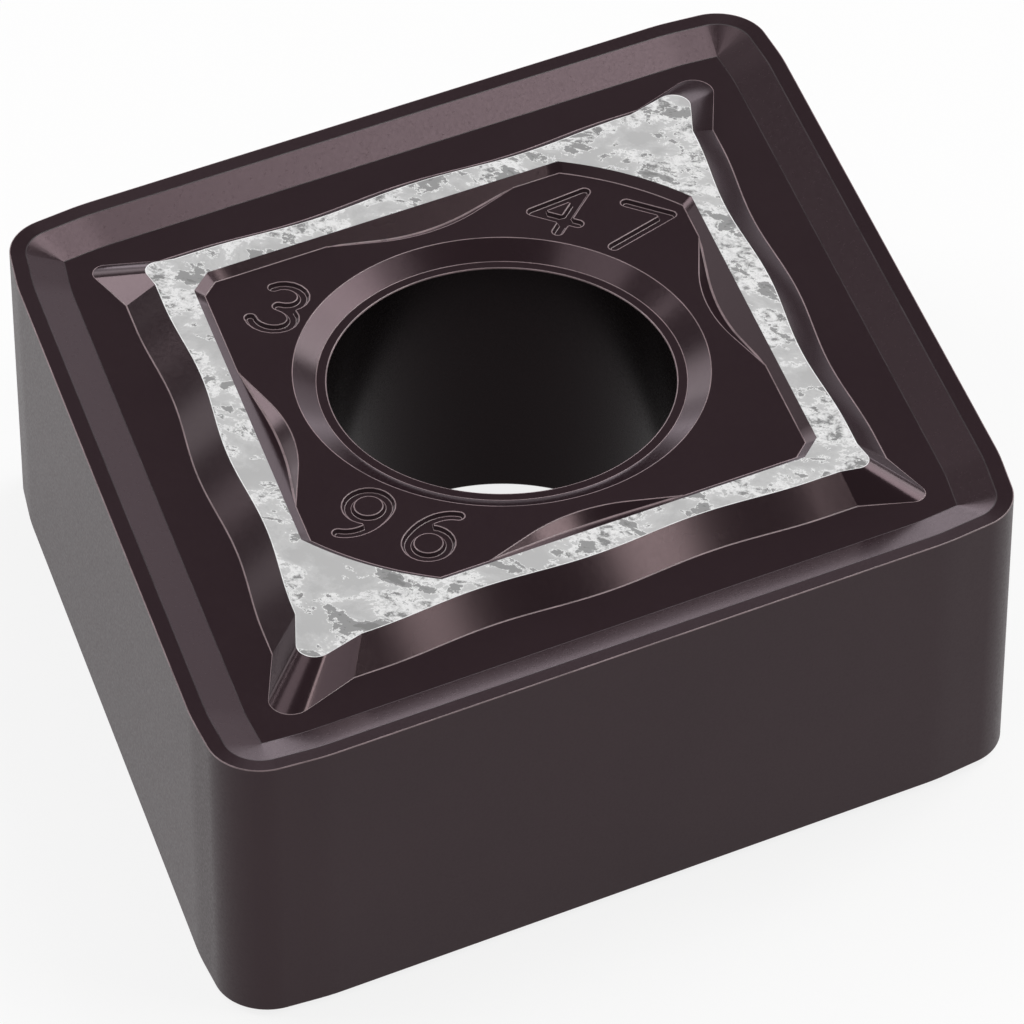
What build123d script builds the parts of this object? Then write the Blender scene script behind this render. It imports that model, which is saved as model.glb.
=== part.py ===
from build123d import *
import os
from math import pi, cos, radians, sin, sqrt, tan

# Rhombic turning insert, pressed and sintered from cemented carbide in one piece.
#
# Double sided: both faces carry the same chip breaker. The origin is on the axis of the bore,
# in the plane of the lower seat; +X runs along the long diagonal and +Z up through the bore.

# driving dimensions, in millimetres and degrees
inscribed_circle = 12.7      # circle that touches all four flanks
corner_angle = 80.0          # cutting corners, on the long diagonal
thickness = 4.76             # from a seat to the cutting edge of the other face
seat_rise = 0.11             # seat ring above the cutting edge of its own face
corner_radius = 0.8
wiper_angle = 5.7            # the flanks bend in by this much beside each corner
wiper_setback = 1.62         # from a sharp cutting corner to the start of its wiper flats
blunt_wiper_setback = 1.38   # the same at the blunt corners

# land and rake, from the cutting edge inward
land_width = 0.25
land_drop = 0.03
rake_width = 0.56
groove_depth = 0.235         # groove floor below the cutting edge
groove_corner_radius = 0.06

# seat ring and the waved wall that carries it
ring_setback = 2.0           # from the flank to the middle of the wave, at the seat
ring_width = 0.4675          # from the middle of the wave to the field
wave_height = 0.05           # crest above the middle of the wave
wave_length = 3.54
wall_run = 0.44              # the wall leans out by this much from seat to groove floor

# noses of the ring, and the ridges that run down from them
nose_flank = 0.638           # straight flank of a nose, from its rounding to the line of the crests
nose_radius = 0.27
nose_half_angle = 25.0
blunt_nose_flank = 0.283
blunt_nose_radius = 0.2
blunt_nose_half_angle = 38.0
ridge_run = 0.88             # from a nose to the foot of its ridge
ridge_radius = 0.32
ridge_half_angle = 21.0
blunt_ridge_half_angle = 29.6

# sunken field around the bore
field_depth = 0.105          # field below the seat
field_wall_run = 0.15        # its wall leans in by this much
field_arc_radius = 4.86      # top of the wall, about the bore, at the cutting corners
field_cut_width = 0.47       # of the straight cut across the blunt corners, at the top of the wall

# pocket in each side of the field
pocket_length = 3.15
pocket_offset = 0.515        # its middle lies this far toward the cutting corner
pocket_depth = 0.15          # deeper than the line where its two walls meet
pocket_flank_angle = 18.2
pocket_tip_radius = 2.6

# bore, and its countersink with a flat ledge
bore_diameter = 5.16
sink_diameter = 6.16
ledge_diameter = 5.47
sink_depth = 0.19

# levels above the lower seat
edge_level = thickness
seat_level = thickness + seat_rise
middle_level = seat_level / 2
land_level = edge_level - land_drop
groove_level = edge_level - groove_depth
field_level = seat_level - field_depth
ledge_level = field_level - sink_depth
clearance = 0.05             # cutting shapes stand this far above what they cut

# the side between the +X and the +Y corner
half_corner = radians(corner_angle / 2)
half_blunt = pi / 2 - half_corner
wiper = radians(wiper_angle)
outward = Vector(sin(half_corner), cos(half_corner))
along = Vector(-cos(half_corner), sin(half_corner))
flank_distance = inscribed_circle / 2


def corner_points(inset):
    """Ends of the side and the two corners it would meet in, that far inside the flanks."""
    side = outward * (flank_distance - inset)
    trim = inset * tan(wiper / 2)
    start = side - along * (flank_distance / tan(half_corner) - wiper_setback - trim)
    end = side + along * (flank_distance / tan(half_blunt) - blunt_wiper_setback - trim)
    corner = Vector(start.X + start.Y / tan(half_corner + wiper), 0)
    blunt_corner = Vector(0, end.Y + end.X / tan(half_blunt + wiper))
    return corner, start, end, blunt_corner


def round_corners(outline, radius, blunt_radius):
    """Round the corners of an outline that lie on the X and on the Y axis."""
    ends = outline.vertices().sort_by(Axis.X)
    fillet([ends[0], ends[-1]], radius=radius)
    ends = outline.vertices().sort_by(Axis.Y)
    fillet([ends[0], ends[-1]], radius=blunt_radius)


def blank_outline(level, inset, radius):
    """Face parallel to the flanks and wiper flats, with rounded corners."""
    with BuildSketch(Plane.XY.offset(level)) as outline:
        with BuildLine():
            Polyline(*corner_points(inset))
            mirror(about=Plane.XZ)
            mirror(about=Plane.YZ)
        make_face()
        round_corners(outline, radius, radius)
    return outline.sketch.face()


def short_fall(radius, half_angle):
    """How far a rounding stays short of the corner that it rounds."""
    return radius * (1 / sin(half_angle) - 1)


def ring_outline(level, run, nose, blunt_nose):
    """Waved outline with a nose toward each corner. A nose is its apex, radius and half angle."""
    # the flanks of a nose meet in its apex, which its radius rounds off
    apex, radius, angle = nose
    blunt_apex, blunt_radius, blunt_angle = blunt_nose
    # the flanks end on the line of the crests
    middle = flank_distance - ring_setback + run
    crest = middle + wave_height
    reach = (apex * sin(half_corner) - crest) / sin(half_corner - angle)
    knee = Vector(apex - reach * cos(angle), reach * sin(angle))
    reach = (blunt_apex * sin(half_blunt) - crest) / sin(half_blunt - blunt_angle)
    blunt_knee = Vector(reach * sin(blunt_angle), blunt_apex - reach * cos(blunt_angle))
    # two waves between the knees, crest to crest, with one crest near the middle of the side
    side_middle = along * ((tan(half_corner) - 1 / tan(half_corner)) * (flank_distance - ring_setback) / 2)
    wave = [
        outward * (middle + wave_height * sign) + side_middle + along * (wave_length * step / 2)
        for step, sign in ((-2, 1), (-1, -1), (0, 1), (1, -1), (2, 1))
    ]
    with BuildSketch(Plane.XY.offset(level)) as outline:
        with BuildLine():
            Polyline((apex, 0), knee, wave[0])
            Spline(*wave, tangents=(along, along))
            Polyline(wave[-1], blunt_knee, (0, blunt_apex))
            mirror(about=Plane.XZ)
            mirror(about=Plane.YZ)
        make_face()
        round_corners(outline, radius, blunt_radius)
    return outline.sketch.face()


def field_outline(level, run):
    """Edge of the field: straight sides, arcs about the bore and short cuts at the corners."""
    distance = flank_distance - ring_setback - ring_width - run
    arc_radius = field_arc_radius - run
    cut_reach = (flank_distance - ring_setback - ring_width - outward.X * field_cut_width / 2) / outward.Y
    blunt_reach = cut_reach - run
    arc_end = outward * distance - along * sqrt(arc_radius**2 - distance**2)
    cut_end = Vector((distance - blunt_reach * outward.Y) / outward.X, blunt_reach)
    with BuildSketch(Plane.XY.offset(level)) as outline:
        with BuildLine():
            ThreePointArc((arc_end.X, -arc_end.Y), (arc_radius, 0), arc_end)
            Line(arc_end, cut_end)
            Line((arc_end.X, -arc_end.Y), (cut_end.X, -cut_end.Y))
            mirror(about=Plane.YZ)
            Line(cut_end, (-cut_end.X, cut_end.Y))
            Line((cut_end.X, -cut_end.Y), (-cut_end.X, -cut_end.Y))
        make_face()
    return outline.sketch.face()


# one pocket: a blunt wedge sunk from the field, cut off by the wall of the field carried on down
wall_lean = field_wall_run / field_depth
wall_foot = flank_distance - ring_setback - ring_width - field_wall_run
pocket_place = outward * wall_foot - along * pocket_offset


def pocket_outline(depth):
    """Section of the wedge; its +X runs along the side and +Y toward the bore."""
    shift = depth * wall_lean
    flank = radians(pocket_flank_angle)
    apex = pocket_length / 2 * tan(flank) - shift / cos(flank)
    half_width = (apex + field_wall_run) / tan(flank)
    plane = Plane(
        origin=(pocket_place.X, pocket_place.Y, field_level - depth),
        x_dir=(along.X, along.Y, 0),
    )
    with BuildSketch(plane) as outline:
        with BuildLine():
            Polyline((-half_width, -field_wall_run), (0, apex), (half_width, -field_wall_run), close=True)
        make_face()
        fillet(outline.vertices().sort_by(Axis.Y)[-1], radius=pocket_tip_radius - shift)
    return outline.sketch.face()


with BuildPart() as pockets:
    loft([pocket_outline(-clearance), pocket_outline(pocket_depth)], ruled=True)
    side_section = Plane(
        origin=(pocket_place.X, pocket_place.Y, field_level),
        x_dir=(-outward.X, -outward.Y, 0),
        z_dir=(along.X, along.Y, 0),
    )
    with BuildSketch(side_section) as above_wall:
        with BuildLine():
            Polyline(
                (-clearance * wall_lean, clearance),
                (pocket_length, clearance),
                (pocket_length, -pocket_length / wall_lean),
                close=True,
            )
        make_face()
    extrude(amount=pocket_length, both=True, mode=Mode.INTERSECT)
    mirror(about=Plane.XZ)
    mirror(about=Plane.YZ)

edge = blank_outline(edge_level, 0, corner_radius)
land = blank_outline(land_level, land_width, corner_radius - land_width)
groove = blank_outline(groove_level, land_width + rake_width, groove_corner_radius)
# apex of each nose at the seat, from the line of the crests outward
nose_angle, blunt_nose_angle = radians(nose_half_angle), radians(blunt_nose_half_angle)
crest_distance = flank_distance - ring_setback + wave_height
nose_reach = nose_flank + nose_radius / tan(nose_angle)
nose_apex = (crest_distance + nose_reach * sin(half_corner - nose_angle)) / sin(half_corner)
blunt_nose_reach = blunt_nose_flank + blunt_nose_radius / tan(blunt_nose_angle)
blunt_nose_apex = (crest_distance + blunt_nose_reach * sin(half_blunt - blunt_nose_angle)) / sin(half_blunt)
ring_seat = ring_outline(
    seat_level,
    0,
    (nose_apex, nose_radius, nose_angle),
    (blunt_nose_apex, blunt_nose_radius, blunt_nose_angle),
)

# the ridges run on from the noses, down to the groove floor
ridge_angle, blunt_ridge_angle = radians(ridge_half_angle), radians(blunt_ridge_half_angle)
ridge_tip = nose_apex - short_fall(nose_radius, nose_angle) + ridge_run
blunt_ridge_tip = blunt_nose_apex - short_fall(blunt_nose_radius, blunt_nose_angle) + ridge_run
ridge_apex = ridge_tip + short_fall(ridge_radius, ridge_angle)
blunt_ridge_apex = blunt_ridge_tip + short_fall(blunt_nose_radius, blunt_ridge_angle)
ring_foot = ring_outline(
    groove_level,
    wall_run,
    (ridge_apex, ridge_radius, ridge_angle),
    (blunt_ridge_apex, blunt_nose_radius, blunt_ridge_angle),
)

with BuildPart() as insert:
    # upper half of the blank, up to the cutting edge, then land and rake
    with BuildSketch(Plane.XY.offset(middle_level)):
        add(blank_outline(0, 0, corner_radius))
    extrude(amount=edge_level - middle_level)
    loft([edge, land], ruled=True, mode=Mode.SUBTRACT)
    loft([land, groove], ruled=True, mode=Mode.SUBTRACT)
    # raised ring, field and pockets
    loft([ring_foot, ring_seat], ruled=True)
    field = [field_outline(field_level, field_wall_run), field_outline(seat_level, 0)]
    loft(field, ruled=True, mode=Mode.SUBTRACT)
    add(pockets.part, mode=Mode.SUBTRACT)
    # half of the bore, with its countersink
    with BuildSketch(Plane.XZ):
        with BuildLine():
            Polyline(
                (0, field_level),
                (sink_diameter / 2, field_level),
                (ledge_diameter / 2, ledge_level),
                (bore_diameter / 2, ledge_level),
                (bore_diameter / 2, middle_level),
                (0, middle_level),
                close=True,
            )
        make_face()
    revolve(axis=Axis.Z, mode=Mode.SUBTRACT)
    # the lower face is the same
    mirror(about=Plane.XY.offset(middle_level))

insert.part.label = "insert"
os.makedirs("parts", exist_ok=True)
export_step(insert.part, "parts/insert.step")
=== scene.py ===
from math import acos, atan2, cos, pi, radians, sin, sqrt, tan

import bmesh
import bpy
from mathutils import Matrix, Vector


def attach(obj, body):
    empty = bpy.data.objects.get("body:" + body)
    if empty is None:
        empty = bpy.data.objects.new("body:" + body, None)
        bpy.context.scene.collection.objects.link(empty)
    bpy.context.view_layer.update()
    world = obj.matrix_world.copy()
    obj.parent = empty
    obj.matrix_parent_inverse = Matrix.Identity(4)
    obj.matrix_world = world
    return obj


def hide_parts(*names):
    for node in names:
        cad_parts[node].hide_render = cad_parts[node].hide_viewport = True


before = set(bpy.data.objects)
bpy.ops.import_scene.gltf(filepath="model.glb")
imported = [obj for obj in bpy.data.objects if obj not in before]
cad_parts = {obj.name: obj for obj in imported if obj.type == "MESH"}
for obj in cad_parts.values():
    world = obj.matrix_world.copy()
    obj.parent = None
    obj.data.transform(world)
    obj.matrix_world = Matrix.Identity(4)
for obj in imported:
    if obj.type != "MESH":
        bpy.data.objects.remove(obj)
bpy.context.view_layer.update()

# ---------------------------------------------------------------------------------------------
# The insert: one pressed and sintered body of cemented carbide, coated dark plum-brown all over,
# with both seat rings ground bare. It lies on its lower ring. The form is built as strips that
# run around the bore, each from its own outlines; flat ground between the strips is filled in.
MM = 0.001
inscribed_circle = 12.7
flank_distance = inscribed_circle / 2
corner_angle = 80            # of the cutting corners, on the long diagonal
half_corner = radians(corner_angle / 2)
half_blunt = radians(90 - corner_angle / 2)
outward = Vector((sin(half_corner), cos(half_corner)))      # across the side between +X and +Y
along = Vector((-cos(half_corner), sin(half_corner)))

land_drop = 0.03
groove_depth = 0.235         # below the cutting edge
field_depth = 0.105          # below the seat
sink_depth = 0.19
edge_level = 4.76
seat_level = 4.87
middle_level = seat_level / 2
land_level = edge_level - land_drop
groove_level = edge_level - groove_depth
field_level = seat_level - field_depth
ledge_level = field_level - sink_depth


def arc(center, radius, start, end, count):
    """Points of an arc, with the angles in degrees from +X."""
    steps = [radians(start + (end - start) * i / count) for i in range(count + 1)]
    return [Vector((center[0] + radius * cos(a), center[1] + radius * sin(a))) for a in steps]


def run_of(start, end, count):
    """Points on a straight run, without its ends."""
    return [start.lerp(end, i / (count + 1)) for i in range(1, count + 1)]


def turn_at(corner, before, after):
    """The angle by which a line turns at a corner."""
    into, out = (corner - before).normalized(), (after - corner).normalized()
    return acos(max(-1, min(1, into.dot(out))))


def soften(corner, before, after, radius, count=3):
    """A small rounding where two runs of a line meet at a corner."""
    turn = turn_at(corner, before, after)
    if turn < 1e-4:          # already straight
        return [corner.copy() for _ in range(count + 1)]
    cut = radius * tan(turn / 2)
    start = corner - (corner - before).normalized() * cut
    end = corner + (after - corner).normalized() * cut
    points = []
    for i in range(count + 1):
        s = i / count
        points.append((1 - s) ** 2 * start + 2 * s * (1 - s) * corner + s ** 2 * end)
    return points


def all_round(quarter):
    """The whole outline from the part between the +X axis and the +Y axis, both ends included."""
    points = [p.copy() for p in quarter]
    points += [Vector((-p.x, p.y)) for p in reversed(quarter[:-1])]
    points += [Vector((p.x, -p.y)) for p in reversed(points[1:-1])]
    return points


def profile(corners, radii, count=3):
    """A section through the strip, with its inner corners rounded: (run inward, level) pairs."""
    points = [Vector(corners[0])]
    for before, corner, after, radius in zip(corners, corners[1:], corners[2:], radii):
        corner, before, after = Vector(corner), Vector(before), Vector(after)
        if radius == 0:
            points.append(corner)
            continue
        reach = radius * tan(turn_at(corner, before, after) / 2)
        limit = 0.45 * min((corner - before).length, (after - corner).length)      # two never meet
        radius *= min(1, limit / max(reach, 1e-9))
        points += soften(corner, before, after, radius, count)
    points.append(Vector(corners[-1]))
    return points


# outline of the blank: beside each corner the flanks bend in to short wiper flats
wiper_angle = 5.7
wiper = radians(wiper_angle)
wiper_setback = 1.62         # from a sharp cutting corner to the start of its wiper flats
blunt_wiper_setback = 1.38
wiper_bend_radius = 3.5
corner_radius = 0.8
least_radius = 0.004


def blank_quarter(inset):
    """Outline from the cutting corner to the blunt corner, this far inside the flank."""
    side = outward * (flank_distance - inset)
    trim = inset * tan(wiper / 2)
    start = side - along * (flank_distance / tan(half_corner) - wiper_setback - trim)
    end = side + along * (flank_distance / tan(half_blunt) - blunt_wiper_setback - trim)
    corner_x = start.x + start.y / tan(half_corner + wiper)
    blunt_y = end.y + end.x / tan(half_blunt + wiper)
    radius = max(corner_radius - inset, least_radius)
    sweep = 90 - corner_angle / 2
    first = arc((corner_x - radius / sin(half_corner + wiper), 0), radius, 0, sweep - wiper_angle, 14)
    last = arc((0, blunt_y - radius / sin(half_blunt + wiper)), radius, sweep + wiper_angle, 90, 12)
    bend = soften(start, first[-1], end, wiper_bend_radius)
    blunt_bend = soften(end, start, last[0], wiper_bend_radius)
    return first + run_of(first[-1], bend[0], 3) + bend + run_of(bend[-1], blunt_bend[0], 12) \
        + blunt_bend + run_of(blunt_bend[-1], last[0], 3) + last


# outline of the waved wall, at its foot and at the seat
ring_setback = 2.0
wave_height = 0.05
wave_length = 3.54
wave_steps = 36              # points in each of the two waves of a side
wall_run = 0.44              # the wall leans out by this much
wave_middle = (tan(half_corner) - 1 / tan(half_corner)) * (flank_distance - ring_setback) / 2
knee_radius = 0.06           # where the waves pass into a nose or a ridge
knee_gap = 0.05


def short_fall(radius, half_angle):
    """How far a rounded tip stays behind its sharp apex."""
    return radius * (1 / sin(half_angle) - 1)


def ring_quarter(run, nose, blunt_nose):
    """Outline of the waved wall, this far outside the seat; a nose is its apex, radius and half angle."""
    apex, radius, angle = nose
    blunt_apex, blunt_radius, blunt_angle = blunt_nose
    middle = flank_distance - ring_setback + run
    crest = middle + wave_height
    reach = (apex * sin(half_corner) - crest) / sin(half_corner - angle)
    knee = Vector((apex - reach * cos(angle), reach * sin(angle)))
    reach = (blunt_apex * sin(half_blunt) - crest) / sin(half_blunt - blunt_angle)
    blunt_knee = Vector((reach * sin(blunt_angle), blunt_apex - reach * cos(blunt_angle)))
    first = arc((apex - radius / sin(angle), 0), radius, 0, 90 - angle * 180 / pi, 10)
    blunt_center = (0, blunt_apex - blunt_radius / sin(blunt_angle))
    last = arc(blunt_center, blunt_radius, blunt_angle * 180 / pi, 90, 10)
    start, end = knee.dot(along), blunt_knee.dot(along)
    count = 2 * wave_steps + 1
    waved = []
    for i in range(count):
        t = wave_middle + wave_length * (i / wave_steps - 1)
        d = middle + wave_height * cos(2 * pi * (t - wave_middle) / wave_length)
        if start + knee_gap < t < end - knee_gap:
            waved.append(outward * d + along * t)
    # points dropped at the knees come back near the blunt one, so foot and crown have as many
    while len(waved) < count:
        waved.append(waved[-1].lerp(blunt_knee, 0.05))
    knee_soft = soften(knee, first[-1], waved[0], knee_radius)
    blunt_soft = soften(blunt_knee, waved[-1], last[0], knee_radius)
    return first + run_of(first[-1], knee_soft[0], 6) + knee_soft + waved + blunt_soft \
        + run_of(blunt_soft[-1], last[0], 6) + last


# noses of the ring, and the ridges that run down from them
nose_flank, blunt_nose_flank = 0.638, 0.283
nose_radius, blunt_nose_radius = 0.27, 0.2
nose_angle, blunt_nose_angle = radians(25), radians(38)
ridge_run = 0.88             # from a nose to the foot of its ridge
ridge_radius, blunt_ridge_radius = 0.32, 0.2
ridge_angle, blunt_ridge_angle = radians(21), radians(29.6)
crest_distance = flank_distance - ring_setback + wave_height


def apex_of(flank, radius, angle, half_angle):
    """Distance from the bore to the sharp apex of a nose."""
    return (crest_distance + (flank + radius / tan(angle)) * sin(half_angle - angle)) / sin(half_angle)


nose_apex = apex_of(nose_flank, nose_radius, nose_angle, half_corner)
blunt_nose_apex = apex_of(blunt_nose_flank, blunt_nose_radius, blunt_nose_angle, half_blunt)
ridge_tip = nose_apex - short_fall(nose_radius, nose_angle) + ridge_run
blunt_ridge_tip = blunt_nose_apex - short_fall(blunt_nose_radius, blunt_nose_angle) + ridge_run

# outline of the field, with a pocket in each side
ring_width = 0.4675          # from the middle of the waves to the field
field_distance = flank_distance - ring_setback - ring_width
field_wall_run = 0.15
wall_lean = field_wall_run / field_depth
field_arc_radius = 4.86      # round the bore, at the cutting corners
field_cut_width = 0.47       # of the straight cut across the blunt corners
pocket_length = 3.15
pocket_half = pocket_length / 2
pocket_flank = radians(18.2)
pocket_tip = 2.6
pocket_middle = -0.515


def pocket_reach(t):
    """How far the lip of a pocket stands out from the foot of the wall, and its flank angle."""
    u = abs(t - pocket_middle)
    if u >= pocket_half:
        return 0, pocket_flank
    apex = pocket_half * tan(pocket_flank)
    tip = apex - short_fall(pocket_tip, pi / 2 - pocket_flank)
    if u < pocket_tip * sin(pocket_flank):
        return tip - pocket_tip + sqrt(pocket_tip ** 2 - u ** 2), atan2(u, sqrt(pocket_tip ** 2 - u ** 2))
    return apex - u * tan(pocket_flank), pocket_flank


def field_stations():
    """Along one quarter of the field's wall: points of its top and foot, and the pocket's reach there."""
    radius, distance = field_arc_radius, field_distance
    inner_radius, inner_distance = radius - field_wall_run, distance - field_wall_run
    reach = (distance - sin(half_corner) * field_cut_width / 2) / cos(half_corner)
    inner_reach = reach - field_wall_run
    arc_end = outward * distance - along * sqrt(radius ** 2 - distance ** 2)
    inner_arc_end = outward * inner_distance - along * sqrt(inner_radius ** 2 - inner_distance ** 2)
    cut_end = Vector((field_cut_width / 2, reach))
    inner_cut = Vector(((inner_distance - inner_reach * outward.y) / outward.x, inner_reach))
    top, foot = [], []
    arc_steps, pocket_steps, cut_steps = 16, 40, 3
    end_angle = atan2(arc_end.y, arc_end.x)
    inner_angle = atan2(inner_arc_end.y, inner_arc_end.x)
    for i in range(arc_steps + 1):
        a, b = end_angle * i / arc_steps, inner_angle * i / arc_steps
        top.append(Vector((cos(a), sin(a))) * radius)
        foot.append(Vector((cos(b), sin(b))) * inner_radius)
    start, end = inner_arc_end.dot(along), inner_cut.dot(along)
    lip_start, lip_end = pocket_middle - pocket_half, pocket_middle + pocket_half
    ts = [start + (lip_start - start) * i / 4 for i in range(1, 4)]
    ts += [pocket_middle - pocket_half * cos(pi * i / pocket_steps) for i in range(pocket_steps + 1)]
    ts += [lip_end + (end - lip_end) * i / 6 for i in range(1, 6)]
    top_start, top_end = arc_end.dot(along), cut_end.dot(along)
    for t in ts:
        foot.append(outward * inner_distance + along * t)
        # over the first and the last eighth the top moves over to its own ends
        share = 8 * (t - start) / (end - start)
        shift = (top_start - start) * max(0, 1 - share) + (top_end - end) * max(0, share - 7)
        top.append(outward * distance + along * (t + shift))
    for i in range(cut_steps + 1):
        top.append(cut_end.lerp(Vector((0, cut_end.y)), i / cut_steps))
        foot.append(inner_cut.lerp(Vector((0, inner_cut.y)), i / cut_steps))
    plain = (0, pocket_flank)
    reaches = [plain] * (arc_steps + 1) + [pocket_reach(t) for t in ts] + [plain] * (cut_steps + 1)
    return top, foot, reaches


# the finishes, in the order of the insert's material slots
# of these, the edge, bend and rim finishes are paler than the coating as painted highlights, and the bore
# finish darker as painted shade
COATED, GROUND, FLANK, BORE_SHADE, EDGE_HIGHLIGHT, RIM_HIGHLIGHT, BEND_HIGHLIGHT, RAKE = range(8)


def strip(shape, rings, finishes):
    """Join rings of equally many points into a strip of quads, with a finish for each row; gives back
    the rings' vertices."""
    rows = [[shape.verts.new((p.x * MM, p.y * MM, z * MM)) for p, z in ring] for ring in rings]
    for k, (row, inner) in enumerate(zip(rows, rows[1:])):
        for i in range(len(row)):
            j = (i + 1) % len(row)
            face = shape.faces.new((row[i], row[j], inner[j], inner[i]))
            face.material_index = finishes[k]
    return rows


def loop_edges(row):
    """The edges that close a ring."""
    return [next(edge for edge in a.link_edges if b in edge.verts) for a, b in zip(row, row[1:] + row[:1])]


def flat_fill(shape, edges, kind=COATED):
    """Fill flat ground between closed rings."""
    filled = bmesh.ops.triangle_fill(shape, use_beauty=True, edges=edges, normal=(0, 0, 1))
    for item in filled["geom"]:
        if isinstance(item, bmesh.types.BMFace):
            item.material_index = kind
            if item.normal.z < 0:
                item.normal_flip()


half = bmesh.new()

# flank, cutting edge, land, rake and the corner of the groove
land_width = 0.25
rake_foot = land_width + 0.56
edge_hone = 0.014            # rounding of the cutting edge
land_rounding = 0.09
foot_rounding = 0.05
groove_start = rake_foot + 0.05
outer_section = profile(
    [(0, middle_level), (0, edge_level), (land_width, land_level), (rake_foot, groove_level),
     (groove_start, groove_level)],
    [edge_hone, land_rounding, foot_rounding],
)
outer_rows = strip(
    half,
    [[(p, z) for p in all_round(blank_quarter(inset))] for inset, z in outer_section],
    # the paler finishes on the roundings of the cutting edge, the land and the rake's foot are painted
    # highlights
    [FLANK] + [EDGE_HIGHLIGHT] * 3 + [COATED] + [BEND_HIGHLIGHT] * 3 + [RAKE] + [BEND_HIGHLIGHT] * 3 + [COATED],
)

# waved wall of the seat ring, with its ridges
ridge_apex = ridge_tip + short_fall(ridge_radius, ridge_angle)
blunt_ridge_apex = blunt_ridge_tip + short_fall(blunt_ridge_radius, blunt_ridge_angle)
foot = all_round(ring_quarter(
    wall_run,
    (ridge_apex, ridge_radius, ridge_angle),
    (blunt_ridge_apex, blunt_ridge_radius, blunt_ridge_angle),
))
crown = all_round(ring_quarter(
    0,
    (nose_apex, nose_radius, nose_angle),
    (blunt_nose_apex, blunt_nose_radius, blunt_nose_angle),
))
rim_width = 0.014            # the bright line at the edge of the seat
foot_apron = 0.03            # flat ground that goes with the foot of a wall
wall_rounding = 0.035
sections = []
for low, high in zip(foot, crown):
    run = (high - low).length
    section = profile(
        [(-foot_apron, groove_level), (0, groove_level), (run, seat_level), (run + rim_width, seat_level)],
        [wall_rounding, 0],
    )
    sections.append([(low + (high - low) * (x / run), z) for x, z in section])
# the wall's rounded foot takes a pale finish and the seat's rim strip a bright one: painted highlights
wall_rows = strip(half, [list(ring) for ring in zip(*sections)], [COATED] + [EDGE_HIGHLIGHT] * 3 + [COATED, RIM_HIGHLIGHT])
flat_fill(half, loop_edges(outer_rows[-1]) + loop_edges(wall_rows[0]))

# wall of the field and its pockets
top_quarter, foot_quarter, reach_quarter = field_stations()
tops, feet = all_round(top_quarter), all_round(foot_quarter)
reaches = reach_quarter + reach_quarter[-2::-1]
reaches = reaches + reaches[-2:0:-1]
field_rounding = 0.03
least_lip = 0.02
sections = []
for high, low, (reach, angle) in zip(tops, feet, reaches):
    inward = (low - high).normalized()
    run = (low - high).length
    # a pocket's far flank is as steep as the wall, square to its own lip
    drop = reach * cos(angle) / (1 + cos(angle)) / wall_lean
    bottom = run * (1 + drop * wall_lean / field_wall_run)
    lip = run * (1 + max(reach, least_lip) / field_wall_run)
    apron = lip + foot_apron
    section = profile(
        [(0, seat_level), (bottom, field_level - drop), (lip, field_level), (apron, field_level)],
        [field_rounding, field_rounding],
    )
    sections.append([(high + inward * x, z) for x, z in section])
# the rounded foot of the field wall and the pocket's lip take pale finishes: painted highlights
field_finishes = [COATED] + [EDGE_HIGHLIGHT] * 3 + [COATED] + [EDGE_HIGHLIGHT] * 3 + [COATED]
field_rows = strip(half, [list(ring) for ring in zip(*sections)], field_finishes)
flat_fill(half, loop_edges(wall_rows[-1]) + loop_edges(field_rows[0]), GROUND)

# countersink, ledge and bore
sink_radius = 3.08
ledge_radius = 2.735
bore_radius = 2.58
bore_steps = 192
sink_apron = sink_radius + 0.04
sink_rounding, ledge_rounding, bore_rounding = 0.03, 0.025, 0.02
bore_section = profile(
    [(sink_apron, field_level), (sink_radius, field_level), (ledge_radius, ledge_level),
     (bore_radius, ledge_level), (bore_radius, middle_level)],
    [sink_rounding, ledge_rounding, bore_rounding],
)
last_step = 360 * (bore_steps - 1) / bore_steps
# the roundings of the countersink, ledge and bore take pale finishes as painted highlights, and the bore
# wall a dark finish as painted shade
bore_rows = strip(
    half,
    [[(p, z) for p in arc((0, 0), r, 0, last_step, bore_steps - 1)] for r, z in bore_section],
    [COATED] + [EDGE_HIGHLIGHT] * 3 + [COATED] + [EDGE_HIGHLIGHT] * 3 + [COATED] + [EDGE_HIGHLIGHT] * 3 + [BORE_SHADE],
)

# plain numbers pressed into the field: each stroke is a groove with round ends and a flat bottom
groove_reach = 0.1           # from the middle of a stroke to the edge of its groove
stroke_depth = 0.055
groove_section = profile(
    [(0, 0), (0.014, 0), (0.054, -stroke_depth), (0.072, -stroke_depth)],
    [0.02, 0.012], 2,
)
# the pale finishes on the grooves' rounded edges and bottom corners are painted highlights
groove_finishes = (EDGE_HIGHLIGHT, EDGE_HIGHLIGHT, EDGE_HIGHLIGHT, COATED, EDGE_HIGHLIGHT, EDGE_HIGHLIGHT, COATED)
grid = 0.02                  # squares in which the edge of a groove is found
least_edge = 0.3 * grid


def bow(center, reach, start, end, count=12):
    """Points of an elliptical arc."""
    steps = [radians(start + (end - start) * i / count) for i in range(count + 1)]
    return [(center[0] + reach[0] * cos(a), center[1] + reach[1] * sin(a)) for a in steps]


six = [bow((0.5, 0.3), (0.5, 0.3), 0, 360, 24), bow((0.86, 0.3), (0.86, 0.7), 180, 96)]
digits = {
    "3": [bow((0.46, 0.76), (0.44, 0.24), 150, -90) + bow((0.48, 0.26), (0.52, 0.26), 90, -150)],
    "4": [[(0.72, 0), (0.72, 1), (0, 0.28), (1, 0.28)]],
    "6": six,
    "7": [[(0, 1), (1, 1), (0.32, 0)]],
    "9": [[(1 - x, 1 - y) for x, y in stroke] for stroke in six],
}


def nearest(point, runs):
    """Distance to the nearest stroke, and the direction to it."""
    best, way = 1e9, None
    for start, end in runs:
        span = end - start
        share = max(0, min(1, (point - start).dot(span) / span.length_squared))
        gap = start + span * share - point
        if gap.length_squared < best:
            best, way = gap.length_squared, gap
    return sqrt(best), way


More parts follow.
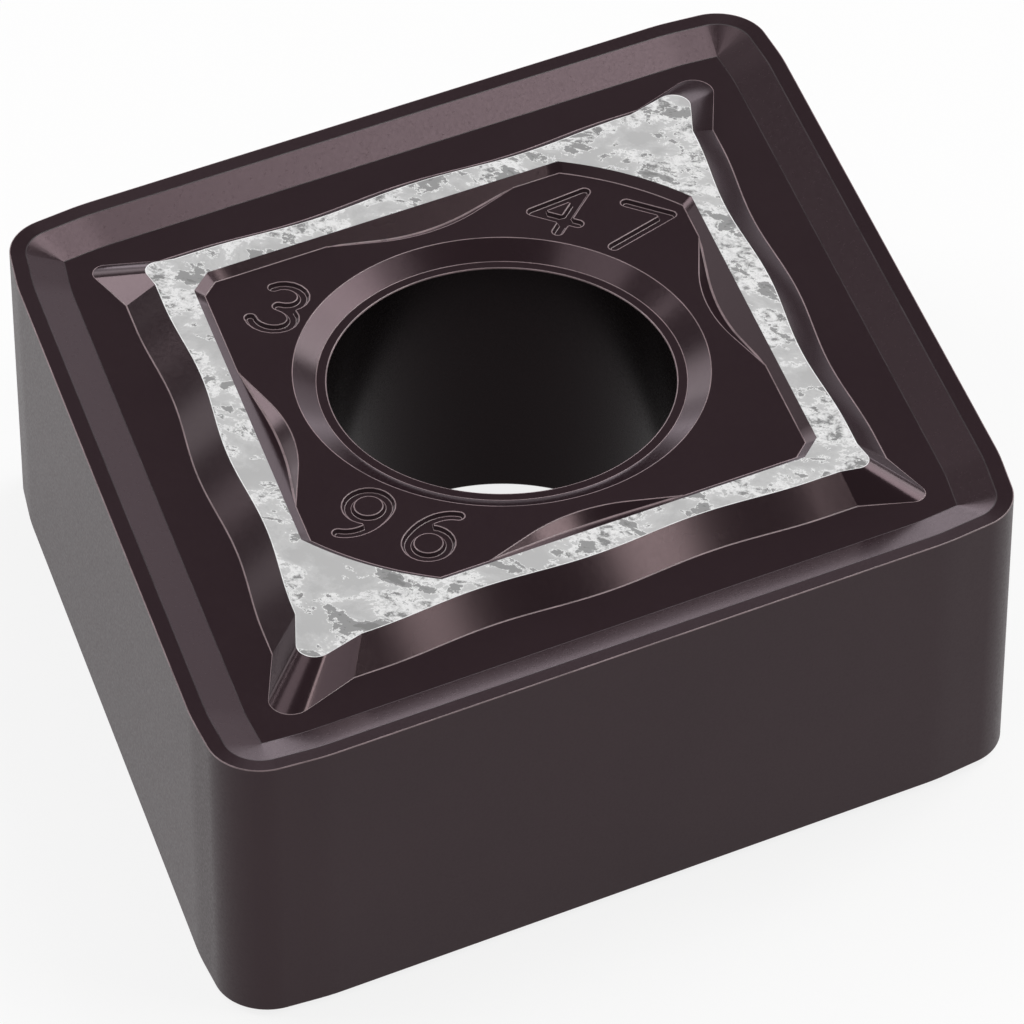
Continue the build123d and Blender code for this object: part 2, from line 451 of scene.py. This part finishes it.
def press(shape, digit, low, high):
    """Press one digit into the field, in the box from low to high; its top is toward -X."""
    runs = []
    for stroke in digits[digit]:
        points = [Vector((high.x - (high.x - low.x) * v, low.y + (high.y - low.y) * u)) for u, v in stroke]
        runs += list(zip(points, points[1:]))
    margin = groove_reach + 2 * grid
    columns = int((high.x - low.x + 2 * margin) / grid) + 1
    rows = int((high.y - low.y + 2 * margin) / grid) + 1
    spots = {(i, j): Vector((low.x - margin + i * grid, low.y - margin + j * grid))
             for i in range(columns + 1) for j in range(rows + 1)}
    depth = {key: groove_reach - nearest(point, runs)[0] for key, point in spots.items()}
    crossings = {}

    def crossing(a, b):
        """The vertex where the groove's edge crosses one side of a grid square."""
        key = (min(a, b), max(a, b))
        if key not in crossings:
            share = depth[a] / (depth[a] - depth[b])
            point = spots[a].lerp(spots[b], share)
            for _ in range(3):
                distance, way = nearest(point, runs)
                point += way * (1 - groove_reach / distance)
            crossings[key] = shape.verts.new((point.x * MM, point.y * MM, field_level * MM))
        return crossings[key]

    rim = []
    for i in range(columns):
        for j in range(rows):
            ring = [(i, j), (i + 1, j), (i + 1, j + 1), (i, j + 1)]
            sides = zip(ring, ring[1:] + ring[:1])
            cuts = [crossing(a, b) for a, b in sides if (depth[a] > 0) != (depth[b] > 0)]
            rim += [shape.edges.new(pair) for pair in zip(cuts[::2], cuts[1::2])]
    short = [edge for edge in rim if edge.calc_length() < least_edge * MM]
    bmesh.ops.collapse(shape, edges=short)
    kept = [vertex for vertex in crossings.values() if vertex.is_valid]
    rim = list(dict.fromkeys(edge for vertex in kept for edge in vertex.link_edges))
    edges = rim
    before = 0
    for (reach, drop), kind in zip(groove_section[1:], groove_finishes):
        grown = bmesh.ops.extrude_edge_only(shape, edges=edges)["geom"]
        for item in grown:
            if isinstance(item, bmesh.types.BMFace):
                item.material_index = kind
        lower = {v for v in grown if isinstance(v, bmesh.types.BMVert)}
        for vertex in lower:
            distance, way = nearest(Vector((vertex.co.x, vertex.co.y)) / MM, runs)
            way = way.normalized() * (reach - before) * MM
            vertex.co = (vertex.co.x + way.x, vertex.co.y + way.y, (field_level + drop) * MM)
        edges = [e for e in grown if isinstance(e, bmesh.types.BMEdge) and lower.issuperset(e.verts)]
        before = reach
    flat_fill(shape, edges)
    return rim


# each number with the low and the high corner of its box
marks = [
    ("4", (-4.33, -1.02), (-3.29, -0.28)),
    ("7", (-4.33, 0.2), (-3.29, 0.92)),
    ("3", (-0.54, -3.92), (0.5, -3.28)),
    ("9", (3.27, -0.86), (4.29, -0.26)),
    ("6", (3.27, 0.26), (4.29, 0.86)),
]
rims = []
for digit, low, high in marks:
    rims += press(half, digit, Vector(low), Vector(high))
flat_fill(half, loop_edges(field_rows[-1]) + loop_edges(bore_rows[0]) + rims)

same_place = 0.0005 * MM
bmesh.ops.remove_doubles(half, verts=half.verts, dist=same_place)
bmesh.ops.recalc_face_normals(half, faces=half.faces)
upper = bpy.data.meshes.new("insert_body")
half.to_mesh(upper)
half.free()

# the lower face is the same, turned over about the long diagonal
whole = bmesh.new()
whole.from_mesh(upper)
turned = bmesh.ops.duplicate(whole, geom=whole.verts[:] + whole.edges[:] + whole.faces[:])["geom"]
turn = Matrix.Translation((0, 0, seat_level * MM)) @ Matrix.Rotation(pi, 4, "X")
bmesh.ops.transform(whole, matrix=turn, verts=[v for v in turned if isinstance(v, bmesh.types.BMVert)])
bmesh.ops.remove_doubles(whole, verts=whole.verts, dist=same_place)
bmesh.ops.recalc_face_normals(whole, faces=whole.faces)
for face in whole.faces:
    face.smooth = True
for edge in whole.edges:
    if len({face.material_index for face in edge.link_faces}) == 2:
        edge.smooth = False
whole.to_mesh(upper)
whole.free()
insert = bpy.data.objects.new("coated_insert", upper)
bpy.context.scene.collection.objects.link(insert)
even = insert.modifiers.new("even_normals", "WEIGHTED_NORMAL")
even.keep_sharp = True
even.weight = 50


def finish(name, color, **sockets):
    """A node material; what is the same all over is set on the shader's own sockets."""
    material = bpy.data.materials.new(name)
    material.use_nodes = True
    shader = material.node_tree.nodes["Principled BSDF"]
    shader.inputs["Base Color"].default_value = (*color, 1)
    for socket, value in sockets.items():
        shader.inputs[socket.replace("_", " ")].default_value = value
    return material, material.node_tree, shader


def node(tree, kind, **inputs):
    """One node, with its inputs set or linked."""
    made = tree.nodes.new("ShaderNode" + kind)
    for name, value in inputs.items():
        socket = made.inputs[name.replace("_", " ")]
        if isinstance(value, bpy.types.NodeSocket):
            tree.links.new(value, socket)
        else:
            socket.default_value = value
    return made


def grain(tree, place, size, stretch=(1, 1, 1), detail=4, roughness=0.6, distortion=0):
    """A noise pattern whose features are about size mm across, stretched by the given amounts."""
    scaled = node(tree, "Mapping", Vector=place, Scale=[1 / (MM * size * s) for s in stretch])
    made = node(tree, "TexNoise", Vector=scaled.outputs[0], Scale=1, Detail=detail, Roughness=roughness,
                Distortion=distortion)
    return made.outputs["Fac"]


def ramp(tree, value, stops, blend="LINEAR"):
    """Colours laid along a value."""
    made = node(tree, "ValToRGB", Fac=value)
    made.color_ramp.interpolation = blend
    while len(made.color_ramp.elements) < len(stops):
        made.color_ramp.elements.new(0.5)
    for element, (at, color) in zip(made.color_ramp.elements, stops):
        element.position = at
        element.color = (*color, 1) if isinstance(color, tuple) else (color, color, color, 1)
    return made.outputs["Color"]


def relief(tree, shader, height, depth):
    """Fine relief, depth in mm."""
    bump = node(tree, "Bump", Height=height, Strength=1, Distance=depth * MM)
    tree.links.new(bump.outputs["Normal"], shader.inputs["Normal"])


plum_gloss = (1, 0.73, 0.80, 1)      # the coating tints what it reflects


def plum(name, roughness, dark, light, relief_size, relief_depth, ior):
    """The coating: slightly cloudy plum-brown over a fine sintered grain."""
    material, tree, shader = finish(name, dark, IOR=ior, Specular_Tint=plum_gloss)
    place = node(tree, "TexCoord").outputs["Object"]
    clouds = grain(tree, place, 1.6, detail=3)
    color = ramp(tree, clouds, [(0.3, dark), (0.7, light)])
    tree.links.new(color, shader.inputs["Base Color"])
    fine = grain(tree, place, relief_size, detail=2)
    rough = ramp(tree, fine, [(0.3, roughness * 0.85), (0.7, roughness * 1.15)])
    tree.links.new(rough, shader.inputs["Roughness"])
    relief(tree, shader, fine, relief_depth)
    return material


plum_dark, plum_light = (0.0176, 0.0085, 0.0114), (0.0199, 0.0102, 0.0131)
flank_dark, flank_light = (0.0165, 0.0075, 0.0101), (0.0192, 0.0091, 0.0117)
# the bore's colours, and its weaker gloss below, are darker than the coating's: painted shade in the bore
bore_shade_dark, bore_shade_light = (0.006, 0.0046, 0.0048), (0.0102, 0.0077, 0.0082)
coating = plum("plum_coating", 0.175, plum_dark, plum_light, 0.05, 0.0002, 1.55)
flank_coating = plum("plum_coating_on_flank", 0.42, flank_dark, flank_light, 0.04, 0.0004, 1.425)
rake_coating = plum("plum_coating_on_rake", 0.24, plum_dark, plum_light, 0.05, 0.0002, 1.55)
bore_shade_coating = plum("coating_in_bore_painted_shade", 0.26, bore_shade_dark, bore_shade_light, 0.05, 0.0002, 1.215)


def highlight_coating(name, dark, light):
    """The coating on edges and bends, painted paler than on the faces as a highlight along them."""
    material, tree, shader = finish(name, dark, IOR=1.55)
    place = node(tree, "TexCoord").outputs["Object"]
    rubbed = grain(tree, place, 0.5, detail=4)
    tree.links.new(ramp(tree, rubbed, [(0.3, dark), (0.7, light)]), shader.inputs["Base Color"])
    tree.links.new(ramp(tree, rubbed, [(0.3, 0.25), (0.7, 0.35)]), shader.inputs["Roughness"])
    relief(tree, shader, grain(tree, place, 0.04, detail=2), 0.0003)
    return material


# pale coatings for the edges and the bends: painted highlights
edge = highlight_coating("honed_edge_painted_highlight", (0.17, 0.123, 0.13), (0.33, 0.24, 0.255))
bend = highlight_coating("bend_painted_highlight", (0.0227, 0.0136, 0.0165), (0.0386, 0.025, 0.0295))


def laid_over(tree, under, over, value, at):
    """One colour laid over another wherever the value is above a level, with a crisp edge."""
    made = tree.nodes.new("ShaderNodeMix")
    made.data_type = "RGBA"
    first, second, result = made.inputs[6], made.inputs[7], made.outputs[2]      # those for colours
    tree.links.new(ramp(tree, value, [(0, 0.0), (at, 1.0)], "CONSTANT"), made.inputs["Factor"])
    tree.links.new(under, first)
    tree.links.new(over, second)
    return result


# ground seat: calm grey carbide, broken up by torn paler ground and by dark patches with pale rims
ground, tree, shader = finish("ground_carbide", (0.5, 0.5, 0.5), Metallic=0.2)
place = node(tree, "TexCoord").outputs["Object"]
torn = grain(tree, place, 0.19, (0.9, 1.3, 1), 6, 0.7, 0.3)
broad = grain(tree, place, 1.25, (0.9, 1.2, 1), 8, 0.66, 0.25)
patches = grain(tree, place, 0.6, (0.8, 1.25, 1), 8, 0.63, 0.2)
torn_tones = [(0.0, 0.51), (0.38, 0.84), (0.46, 0.73), (0.51, 0.59), (0.545, 0.42), (0.575, 0.25)]
calm_tones = [(0.0, 0.82), (0.49, 0.60), (0.51, 0.56), (0.54, 0.525), (0.57, 0.50)]
patch_tones = [(0.0, 0.82), (0.560, 0.70), (0.567, 0.30), (0.64, 0.22)]
calm_from, patches_from = 0.48, 0.55
torn_ground = ramp(tree, torn, torn_tones, "CONSTANT")
calm_ground = ramp(tree, broad, calm_tones, "CONSTANT")
dark_patches = ramp(tree, patches, patch_tones, "CONSTANT")
seat_color = laid_over(tree, torn_ground, calm_ground, broad, calm_from)
seat_color = laid_over(tree, seat_color, dark_patches, patches, patches_from)
tree.links.new(seat_color, shader.inputs["Base Color"])
tree.links.new(ramp(tree, patches, [(0.35, 0.42), (0.65, 0.6)]), shader.inputs["Roughness"])
relief(tree, shader, patches, 0.002)

# bright line along the outer edge of the seat: a painted highlight
seat_rim_highlight, tree, shader = finish("seat_rim_painted_highlight", (0.85, 0.85, 0.85), Metallic=0.2)
place = node(tree, "TexCoord").outputs["Object"]
ragged = grain(tree, place, 0.2, detail=4)
tree.links.new(ramp(tree, ragged, [(0.35, 0.77), (0.6, 0.98)]), shader.inputs["Base Color"])
tree.links.new(ramp(tree, ragged, [(0.3, 0.35), (0.7, 0.5)]), shader.inputs["Roughness"])
relief(tree, shader, ragged, 0.001)

for material in (coating, ground, flank_coating, bore_shade_coating, edge, seat_rim_highlight, bend, rake_coating):
    insert.data.materials.append(material)
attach(insert, "root")
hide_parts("insert")

# ---------------------------------------------------------------------------------------------
# Pale painted floor, flat and wide, that the insert lies on. To the eye and in gloss it is nearly
# plain white, and it keeps the insert's soft shadow.
floor_reach = 2
floor_white = 0.84           # how far the plain white covers the paint
floor_corners = [(x * floor_reach, y * floor_reach, 0) for x, y in ((-1, -1), (1, -1), (1, 1), (-1, 1))]
floor_mesh = bpy.data.meshes.new("floor")
floor_mesh.from_pydata(floor_corners, [], [(0, 1, 2, 3)])
floor = bpy.data.objects.new("floor", floor_mesh)
bpy.context.scene.collection.objects.link(floor)
floor_paint, tree, shader = finish("floor_paint", (0.93, 0.93, 0.93), Roughness=0.9)
ray = node(tree, "LightPath")
seen = ray.outputs["Is Camera Ray"]
for kind in ("Is Glossy Ray", "Is Transmission Ray"):
    either = node(tree, "Math")
    either.operation = "MAXIMUM"
    tree.links.new(seen, either.inputs[0])
    tree.links.new(ray.outputs[kind], either.inputs[1])
    seen = either.outputs[0]
cover = node(tree, "Math")
cover.operation = "MULTIPLY"
cover.inputs[1].default_value = floor_white
tree.links.new(seen, cover.inputs[0])
white = node(tree, "Emission")
blend = node(tree, "MixShader", Fac=cover.outputs[0])
tree.links.new(shader.outputs[0], blend.inputs[1])
tree.links.new(white.outputs[0], blend.inputs[2])
tree.links.new(blend.outputs[0], tree.nodes["Material Output"].inputs["Surface"])
floor_mesh.materials.append(floor_paint)

# ---------------------------------------------------------------------------------------------
# Soft studio light: eleven flat soft boxes round the insert, in a dim even room. Together they
# light a level surface at about 1.1 times the level at which a colour shows as it is written.
room_level = 0.16
world = bpy.data.worlds.new("studio")
bpy.context.scene.world = world
world.use_nodes = True
room = world.node_tree.nodes["Background"]
room.inputs["Color"].default_value = (1, 1, 1, 1)
room.inputs["Strength"].default_value = room_level

lamp_distance = 0.5
aim = Vector((0, 0, 0.003))


def soft_box(name, turn, rise, half_width, half_height, level, color=(1, 1, 1)):
    """A flat lamp facing the insert. Its place and half its size are angles in degrees, seen from
    the insert, and its level is its brightness, where 1 is plain white."""
    lamp = bpy.data.lights.new(name, "AREA")
    lamp.shape = "RECTANGLE"
    lamp.color = color
    lamp.size = 2 * lamp_distance * tan(radians(half_width))
    lamp.size_y = 2 * lamp_distance * tan(radians(half_height))
    lamp.energy = pi * lamp.size * lamp.size_y * level
    turn, rise = radians(turn), radians(rise)
    way = Vector((cos(rise) * cos(turn), cos(rise) * sin(turn), sin(rise)))
    holder = bpy.data.objects.new(name, lamp)
    holder.location = way * lamp_distance + aim
    holder.rotation_euler = way.to_track_quat("Z", "Y").to_euler()
    bpy.context.scene.collection.objects.link(holder)


soft_box("tall_box", 152, 45, 12, 26, 3.9)
soft_box("rear_strip", 208, 17, 35, 12, 0.75, (1, 0.94, 1))
soft_box("low_strip", 190, 4.5, 42, 4, 0.88, (1, 0.92, 1))
soft_box("top_strip", 192, 63, 35, 11, 0.7)
soft_box("side_box", 279, 36, 13, 10.5, 5.1)
soft_box("small_box", 104, 50, 8, 8, 5.6, (1, 1, 0.94))
soft_box("low_box", 216, 14, 8, 8, 1.05, (1, 0.92, 1))
soft_box("corner_box", 243, 19, 12, 9.5, 1.2)
soft_box("front_box", 328, 56, 18, 14, 0.3)
soft_box("high_box", 263, 69, 12, 10, 1.6)
soft_box("near_box", 105, 34, 9, 7, 1.4)

# ---------------------------------------------------------------------------------------------
# The camera: a long lens that looks down on the insert from beside its near cutting corner, so
# that the upper face, two flanks and the bore are in view.
camera = bpy.data.cameras.new("camera")
camera.lens = 257.47
camera.sensor_width = 36
camera.clip_start = 0.01
viewer = bpy.data.objects.new("camera", camera)
stand = Vector((0.075975, 0.032510, 0.073799))
right = Vector((-0.39111550, 0.92034126, -0.00079591))
up = -Vector((0.60397722, 0.25601822, -0.75476234))
back = -Vector((-0.69443516, -0.29567996, -0.65599785))
viewer.matrix_world = Matrix.Translation(stand) @ Matrix((right, up, back)).transposed().to_4x4()
bpy.context.scene.collection.objects.link(viewer)
bpy.context.scene.camera = viewer
bpy.context.scene.view_settings.view_transform = "Standard"
